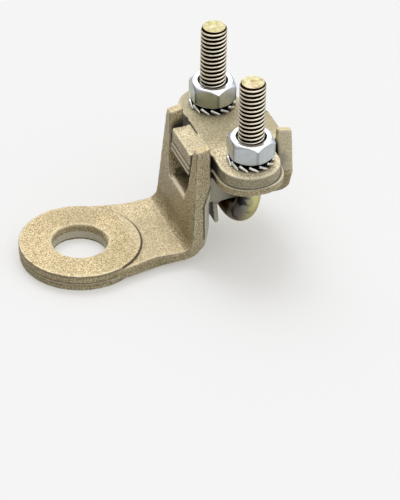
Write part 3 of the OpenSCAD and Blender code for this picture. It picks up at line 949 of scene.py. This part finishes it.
def hiddenShare(mesh, solids, settings):  # share of the sky that other surfaces hide at each point
    picker = np.random.default_rng(settings["seed"])
    spread = picker.normal(size=(settings["rays"], 3))
    spread /= np.linalg.norm(spread, axis=1)[:, None]
    normals = meshNormals(mesh)
    starts = meshPoints(mesh) + normals * settings["lift"] * mm
    blocked = np.zeros(len(starts))
    for ray in spread:
        headings = normals + settings["spread"] * ray
        for i in range(len(starts)):
            if solids.ray_cast(starts[i], headings[i], settings["reach"] * mm)[0] is not None:
                blocked[i] += 1
    return blocked / settings["rays"]


# Painted shade lines and painted highlights on the castings

lineCore = 1.4  # above 1, so that a line is at full strength over part of its width
lugMarks = {  # places in mm
    "facing": 0.7,  # a face points along an axis if its normal's share there is above this
    "sideways": 0.5,
    "leaning": 0.3,
    "turned": (0.2, 0.42),  # product of two shares over which an edge's line grows
    "palmBefore": 20.0,  # X
    "palmHidden": 0.3,  # share of the painted occlusion shade that the palm shows
    "rimLines": ((2.75, 0.30), (4.9, 0.35)),  # Z and half width of the painted shade lines round the palm's rim
    "rimEdge": (2.2, 0.25),  # Z and half width of the painted highlight on the pad's edge
    "rimAround": (17.4, 18.7),  # distance of the rim from the palm's centre
    "bossLine": (18.5, 0.45),  # distance from the palm's centre and half width
    "bossFrom": 7.5,  # X
    "bossAlong": (14.0, 4.0),  # Y over which the line grows
    "bossFaint": 0.3,
    "bossAbove": 4.2,  # Z
    "holeWall": 8.8,  # the hole's wall is nearer than this to the palm's centre
    "boreZones": (0.65, 2.85),  # Z: painted shadow at the edge, bare band, then the upper part in faint painted shade
    "boreShades": (0.7, 0.08),  # of the edge and of the upper part
    "tongueEdge": (13.0, 32.0),  # X of the painted shade line along the tongue's upper edges
    "tongueEdgeZ": (3.6, 12.0),
    "tongueX": (15.0, 28.0),  # the tongue's top, painted paler
    "tongueBelow": 8.0,  # Z
    "wallX": (29.5, 38.0),  # the front wall's upright edges
    "wallZ": (9.0, 38.6),
    "wallShades": (0.6, -0.3, 0.35),  # painted shade of those edges at the foot, then what the wall and the posts add
    "footZ": (10.0, 22.0),  # Z over which the painted shade at the wall's foot fades
    "paleAlong": (-8.0, 4.0),  # Y over which the wall's face is painted paler
    "paleShare": 0.25,
    "postEdge": (30.0, 35.0),  # Z over which the painted shade on the posts' edges grows again
    "rearPosts": (57.5, 26.0),  # X and Z beyond which the rear posts lie, whose sides are painted lighter
    "relief": (36.4, 2.4),  # X and depth of the relief behind the front wall
    "reliefTop": (19.5, 26.4),  # Z over which it runs out
    "reliefFoot": 8.0,  # Z
    "reliefWidth": 0.35,
    "reliefSide": 12.6,  # Y beyond which the wall's sides lie
    "openX": (36.7, 58.0),  # the saddle's sides take no painted shade and get the painted sheen
    "openBelow": 27.3,  # Z
    "openFrom": 6.0,  # Y
    # share of the painted occlusion shade taken off those sides
    "unshadedShare": 0.9,
    "channelFloor": (32.2, 58.0),  # X of the painted shadow on the floor behind the sill
    "channelBelow": 20.0,  # Z
    "channelHalf": 7.6,  # Y
    # the sill's front strip is painted lit
    "sillX": (30.4, 31.7),
    "sillZ": (17.5, 18.7),
    "sillHalf": 6.4,
    "earEdge": (29.9, 0.35),  # Z and half width of the painted highlight on the ears' edge
    "earFrom": 11.6,  # Y
    # painted shade lines
    "lineShares": {"rim": 0.6, "boss": 0.9, "bore": 1.0, "relief": 0.9, "upright": 1.0, "tongue": 0.5,
                   "channel": 0.6, "foot": 0.2},
    # painted highlights and faces painted lighter
    "glowShares": {"sill": 0.9, "ear": 0.6, "rear": 0.38, "tongue": 0.12, "wallSide": 0.14, "pad": 0.75,
                   "farPost": 0.2, "saddle": 0.25},
}
keeperMarks = {  # places in mm
    "insideX": (36.7, 58.0),  # between the lug's walls
    "noseEnds": (33.6, 60.6),  # X beyond which the noses' end faces lie
    "noseLines": ((30.2, 0.30), (28.45, 0.30), (27.1, 0.2)),  # Z and half width of the painted shade lines on the noses' ends
    "noseBands": ((29.5, 0.45), (27.8, 0.45)),  # painted highlight bands between those lines
    "noseSide": (7.8, 0.45),  # Y and half width of the painted shade line at the nose's ends
    "stepLine": (37.85, 0.42),  # X and half width of the painted shade line at the step between nose and plate
    "stepAlong": (1.4, 2.8),  # Y over which the step line grows
    "stepTo": 9.0,  # Y
    "stepAbove": 33.4,  # Z
    "plateFrom": (37.6, 38.6),  # X over which the plate is painted in shade, darker than the nose
    "plateAlong": (-9.5, -3.0),  # Y over which it does
    "plateAbove": 34.0,  # Z
    "plateTurned": (0.5, 0.98),  # how far the plate's front edge has to face forward for its painted shade line
    "rimBand": (29.0, 33.9),  # Z of the rim painted in shade
    "rimShare": 0.7,
    "earTop": (34.1, 0.35),  # Z and half width of the painted highlight round the ears' top edge
    "earSeam": (30.5, 0.35),  # Z and half width of the painted shade line in the seam under them
    "earFrom": 11.6,  # Y
    "lineShares": {"nose": 0.9, "side": 0.8, "seam": 0.8, "step": 1.0, "plateSide": 0.35},
    "glowShares": {"bands": 0.5, "ear": 0.35},
}


def nearTo(values, place, width):
    return np.clip(lineCore * (1 - np.abs(values - place) / width), 0, 1)


def nearest(values, lines):
    return np.max([nearTo(values, *line) for line in lines], axis=0)


def strongest(masks, shares):
    return np.max([masks[name] * share for name, share in shares.items()], axis=0)


def reliefEdge(z, marks):  # X where the wall's side turns into the relief behind it
    wallRear, depth = marks["relief"]
    return wallRear - depth * (1 - ramp(z, *marks["reliefTop"]))


# painted shade lines: in the palm's rim, round the boss, in the bore, along the relief and the wall's edges,
# on the tongue's edges, on the channel's floor and at the wall's foot
def lugLines(points, normals, marks):
    x, y, z = points
    nx, ny, nz = normals
    fromHole = np.hypot(x, y)
    rim = nearest(z, marks["rimLines"]) * between(fromHole, marks["rimAround"]) * (nz < marks["facing"])
    boss = nearTo(fromHole, *marks["bossLine"]) * (x > marks["bossFrom"]) * (z > marks["bossAbove"])
    faint = marks["bossFaint"]
    boss = boss * (faint + (1 - faint) * ramp(y, *marks["bossAlong"])) * (y < marks["bossAlong"][0])
    edgeShade, upperShade = marks["boreShades"]
    bore = edgeShade * (z < marks["boreZones"][0]) + upperShade * (z > marks["boreZones"][1])
    relief = nearTo(x - reliefEdge(z, marks), 0.0, marks["reliefWidth"])
    relief = relief * between(z, (marks["reliefFoot"], marks["reliefTop"][1]))
    atFoot, higher, atPosts = marks["wallShades"]
    upright = atFoot + higher * ramp(z, *marks["reliefTop"]) + atPosts * ramp(z, *marks["postEdge"])
    upright = upright * ramp(np.abs(nx * ny), *marks["turned"]) * ((nx < 0) | (z > marks["openBelow"]))
    tongue = ramp(np.abs(ny * nz), *marks["turned"]) * between(x, marks["tongueEdge"])
    channel = between(x, marks["channelFloor"]) & (z < marks["channelBelow"]) & (nz > marks["leaning"])
    foot = (nx < -marks["leaning"]) * (1 - ramp(z, *marks["footZ"])) * (x > marks["palmBefore"])
    return strongest({
        "rim": rim,
        "boss": boss,
        "bore": bore * (fromHole < marks["holeWall"]),
        "relief": relief * (np.abs(y) > marks["reliefSide"]),
        "upright": upright * between(x, marks["wallX"]) * between(z, marks["wallZ"]),
        "tongue": tongue * between(z, marks["tongueEdgeZ"]),
        "channel": channel & (np.abs(y) < marks["channelHalf"]),
        "foot": foot,
    }, marks["lineShares"])


# painted highlights and faces painted lighter: the sill's strip, the ears' and pad's edges, the rear posts,
# the tongue's top, the wall's sides, the far post and the saddle
def lugGlow(points, normals, marks):
    x, y, z = points
    nx, ny, nz = normals
    out = np.abs(y)
    facingSide = np.abs(ny) > marks["facing"]
    low = z < marks["openBelow"]
    rearX, rearZ = marks["rearPosts"]
    return strongest({
        "sill": between(x, marks["sillX"]) & between(z, marks["sillZ"]) & (out < marks["sillHalf"]),
        "ear": nearTo(z, *marks["earEdge"]) * (out > marks["earFrom"]) * between(x, marks["openX"]),
        "rear": (x > rearX) & (z > rearZ) & (np.abs(ny) > marks["sideways"]),
        "tongue": between(x, marks["tongueX"]) & (z < marks["tongueBelow"]) & (nz > marks["facing"]),
        "wallSide": between(x, marks["wallX"]) & facingSide & (out > marks["reliefSide"]),
        "pad": nearTo(z, *marks["rimEdge"]) * between(np.hypot(x, y), marks["rimAround"]),
        "farPost": (nx < -marks["facing"]) & (y > marks["openFrom"]) & (z > marks["openBelow"]),
        "saddle": between(x, marks["openX"]) & facingSide & low & (out > marks["openFrom"]),
    }, marks["glowShares"])


def markLug(mesh, hidden, marks):
    points = meshPoints(mesh).T / mm
    normals = meshNormals(mesh).T
    x, y, z = points
    outward = (normals[1] * np.sign(y) > marks["leaning"]) & (np.abs(y) > marks["openFrom"])
    # the saddle's sides and the relief lose the painted shade and get a painted paler sheen
    sheenSides = between(x, marks["openX"]) | (x > reliefEdge(z, marks) + marks["reliefWidth"])
    sheenSides = sheenSides & outward & (z < marks["openBelow"]) & (x < marks["openX"][1])
    bare = (np.hypot(x, y) < marks["holeWall"]) & between(z, marks["boreZones"])
    face = (normals[0] < -marks["facing"]) & between(x, marks["wallX"]) & (z > marks["footZ"][0])
    pale = marks["paleShare"] * face * ramp(y, *marks["paleAlong"])
    # painted occlusion shade, taken off the saddle's sides and faint on the palm
    hidden = hidden * (1 - marks["unshadedShare"] * sheenSides)
    setPoints(mesh, "polish", np.maximum(sheenSides | bare, pale))
    setPoints(mesh, "line", lugLines(points, normals, marks))
    setPoints(mesh, "glow", lugGlow(points, normals, marks))
    setPoints(mesh, "hidden", hidden * np.where(x < marks["palmBefore"], marks["palmHidden"], 1.0))


def markKeeper(mesh, hidden, marks):
    x, y, z = meshPoints(mesh).T / mm
    forward = -meshNormals(mesh)[:, 0]
    out = np.abs(y)
    atEnds = (x < marks["noseEnds"][0]) | (x > marks["noseEnds"][1])
    inside = between(x, marks["insideX"])
    onEar = out > marks["earFrom"]
    step = nearTo(x, *marks["stepLine"]) * (z > marks["stepAbove"]) * ramp(y, *marks["stepAlong"])
    plateSide = ramp(forward, *marks["plateTurned"]) * (x < marks["plateFrom"][1])
    # the plate behind the noses and the rim are painted in shade
    dull = ramp(x, *marks["plateFrom"]) * ramp(y, *marks["plateAlong"]) * (z > marks["plateAbove"])
    rim = marks["rimShare"] * between(z, marks["rimBand"]) * inside
    # painted shade lines on the noses, at their ends, in the seam, at the step and on the plate's front
    setPoints(mesh, "line", strongest({
        "nose": nearest(z, marks["noseLines"]) * atEnds,
        "side": nearTo(out, *marks["noseSide"]) * ~inside,
        "seam": nearTo(z, *marks["earSeam"]) * onEar,
        "step": step * (y < marks["stepTo"]),
        "plateSide": plateSide * (out > marks["stepTo"]),
    }, marks["lineShares"]))
    # painted highlight bands on the noses and round the ears' top edge
    setPoints(mesh, "glow", strongest({
        "bands": nearest(z, marks["noseBands"]) * atEnds,
        "ear": nearTo(z, *marks["earTop"]) * onEar,
    }, marks["glowShares"]))
    setPoints(mesh, "dusk", np.maximum(dull, rim))
    setPoints(mesh, "hidden", hidden)


def markPieces():
    pieces = [castPieces["lug_body"], castPieces["keeper"], boltPiece]
    solids = joinedTree(pieces)
    lug, keeper, bolt = [piece.data for piece in pieces]
    markLug(lug, hiddenShare(lug, solids, occlusionShade), lugMarks)
    markKeeper(keeper, hiddenShare(keeper, solids, occlusionShade), keeperMarks)
    setPoints(bolt, "hidden", hiddenShare(bolt, solids, occlusionShade))
    print("dirt and marks: set")


markPieces()


# Floor, light and camera

studio = {
    "floorSize": 6.0,
    "floorColour": (0.643, 0.66, 0.715, 1.0),
    "floorBounce": (0.25, 0.25, 0.25, 1.0),  # what the floor throws back at the pieces' sides
    "floorLift": 0.45,  # share of the floor's tone that shadows leave alone
    "floorTone": (0.93, 0.896, 0.80, 1.0),  # warmer, so that shadows turn warm
    "skyTop": 1.2,
    "skySide": 0.255,
    "skyFrom": (0.27, -0.08, 0.96),  # the sky is brightest here
    "skySpread": (0.35, 1.0),  # cosines over which it brightens
    "skyBlend": (0.1, 0.7),  # heights over which its colour changes
    "fillFrom": (0.62, -0.78, 0.1),  # low light comes mostly from here
    "boxFrom": (0.0, 0.72, 0.70),  # middle of the large soft box behind
    "boxEdge": (0.80, 0.95),
    "boxStrength": 1.5,
    "skyTopColour": (1.0, 0.985, 0.97, 1.0),
    "skySideColour": (0.80, 1.0, 1.20, 1.0),
    "sunStrength": 1.05,
    "sunAngle": 32.0,
    "sunFrom": (0.0, 0.44, 0.90),
}


def makeFloor(settings):
    half = settings["floorSize"] / 2
    corners = [(-half, -half, 0), (half, -half, 0), (half, half, 0), (-half, half, 0)]
    mesh = bpy.data.meshes.new("paleFloor")
    mesh.from_pydata(corners, [], [(0, 1, 2, 3)])
    floor = link("paleFloor", mesh)
    material = bpy.data.materials.new("paleFloor")
    wire = blankTree(material)
    seen = [wire.add("ShaderNodeLightPath", out=kind) for kind in
            ("Is Camera Ray", "Is Glossy Ray", "Is Transmission Ray")]
    watched = wire.sum("MAXIMUM", wire.sum("MAXIMUM", seen[0], seen[1]), seen[2])
    pale = wire.add("ShaderNodeBsdfDiffuse", None, {"Color": settings["floorColour"]})
    lift = wire.add("ShaderNodeEmission", None, {"Color": settings["floorTone"]})
    bounce = wire.add("ShaderNodeBsdfDiffuse", None, {"Color": settings["floorBounce"]})
    view = wire.add("ShaderNodeMixShader", None, {0: settings["floorLift"], 1: pale, 2: lift})
    shown = wire.add("ShaderNodeMixShader", None, {0: watched, 1: bounce, 2: view})
    show(shown, "ShaderNodeOutputMaterial")
    mesh.materials.append(material)


def makeLight(settings):
    world = bpy.data.worlds.new("studio")
    bpy.context.scene.world = world
    wire = blankTree(world)
    direction = wire.add("ShaderNodeTexCoord", out="Generated")
    up = direction.part("Z")
    toSky, toFill, toBox = [  # cosine of the angle to each of these directions
        wire.add("ShaderNodeVectorMath", {"operation": "DOT_PRODUCT"},
                 {0: direction, 1: settings[name]}, "Value")
        for name in ("skyFrom", "fillFrom", "boxFrom")]
    level = toSky.ease(*settings["skySpread"], 0.0, settings["skyTop"]) + (1.0 + toFill) * settings["skySide"]
    level = level + toBox.ease(*settings["boxEdge"]) * settings["boxStrength"]
    colour = up.ease(*settings["skyBlend"]).tint(settings["skySideColour"], settings["skyTopColour"])
    sky = wire.add("ShaderNodeBackground", None, {"Color": colour, "Strength": level})
    show(sky, "ShaderNodeOutputWorld")
    lamp = bpy.data.lights.new("softKey", "SUN")
    lamp.energy = settings["sunStrength"]
    lamp.angle = math.radians(settings["sunAngle"])
    key = link("softKey", lamp)
    key.rotation_euler = Vector(settings["sunFrom"]).to_track_quat("Z", "Y").to_euler()


photoView = {
    "azimuth": -21.452,  # degrees round from the side, towards the palm
    "elevation": 35.689,
    "roll": 1.363,
    "distance": 1223.8,  # mm
    "aim": (36.04, -2.784),  # mm to the right and up from the palm's centre
    "palmTop": 5.3,
    "lens": 367.14,
    "sensor": 36.0,
}


def makeCamera(settings):
    a, e, r = (math.radians(settings[k]) for k in ("azimuth", "elevation", "roll"))
    out = Vector((math.sin(a) * math.cos(e), -math.cos(a) * math.cos(e), math.sin(e)))
    level = Vector((math.cos(a), math.sin(a), 0))
    over = out.cross(level)
    right = math.cos(r) * level + math.sin(r) * over
    up = math.cos(r) * over - math.sin(r) * level
    spot = Vector((0, 0, settings["palmTop"])) + settings["aim"][0] * right + settings["aim"][1] * up
    spot += settings["distance"] * out
    data = bpy.data.cameras.new("photoCamera")
    data.sensor_fit = "HORIZONTAL"
    data.sensor_width = settings["sensor"]
    data.lens = settings["lens"]
    camera = link("photoCamera", data)
    turn = Matrix((right, up, out)).transposed()
    camera.matrix_world = Matrix.Translation(spot * mm) @ turn.to_4x4()
    bpy.context.scene.camera = camera


makeFloor(studio)
makeLight(studio)
makeCamera(photoView)
bpy.context.scene.view_settings.view_transform = "Standard"
print("studio: ready")
